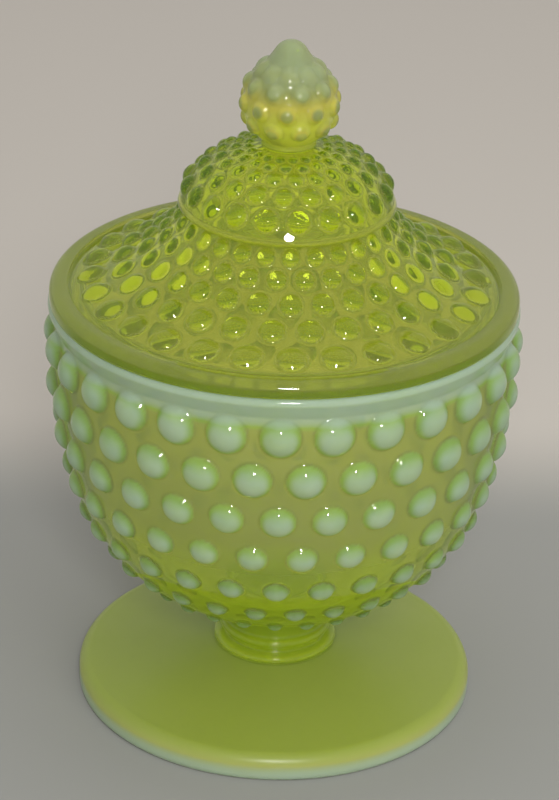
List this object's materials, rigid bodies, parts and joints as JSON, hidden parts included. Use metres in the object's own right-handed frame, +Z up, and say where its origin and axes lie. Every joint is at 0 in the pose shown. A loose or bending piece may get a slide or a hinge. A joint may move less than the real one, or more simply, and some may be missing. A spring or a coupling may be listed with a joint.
{
  "type": "covered candy dish",
  "caption": "Footed round candy dish in yellow-green opalescent hobnail glass, with a loose domed lid that lifts off by its ball knob.",
  "frame": {"origin": "centre of the ring that the foot stands on, at table level", "axes": "+Z up along the axis of the dish, -Y towards the viewer of the picture"},
  "size_m": [0.1464, 0.1464, 0.216],
  "materials": {
    "foot_glass": "milky, polished",
    "stem_glass": "clear, polished",
    "bowl_glass": "opalescent, polished",
    "lid_glass": "clear, polished",
    "knob_glass": "slightly milky, polished"
  },
  "bodies": {
    "dish": {"foot": "foot_glass", "stem_collar": "stem_glass", "bowl": "bowl_glass"},
    "lid": {"lid": "lid_glass", "knob": "knob_glass"}
  },
  "joints": [
    {"name": "lid_lift", "type": "slide", "parent": "dish", "child": "lid", "axis": [0, 0, 1], "range_m": [0, 0.12]}
  ]
}
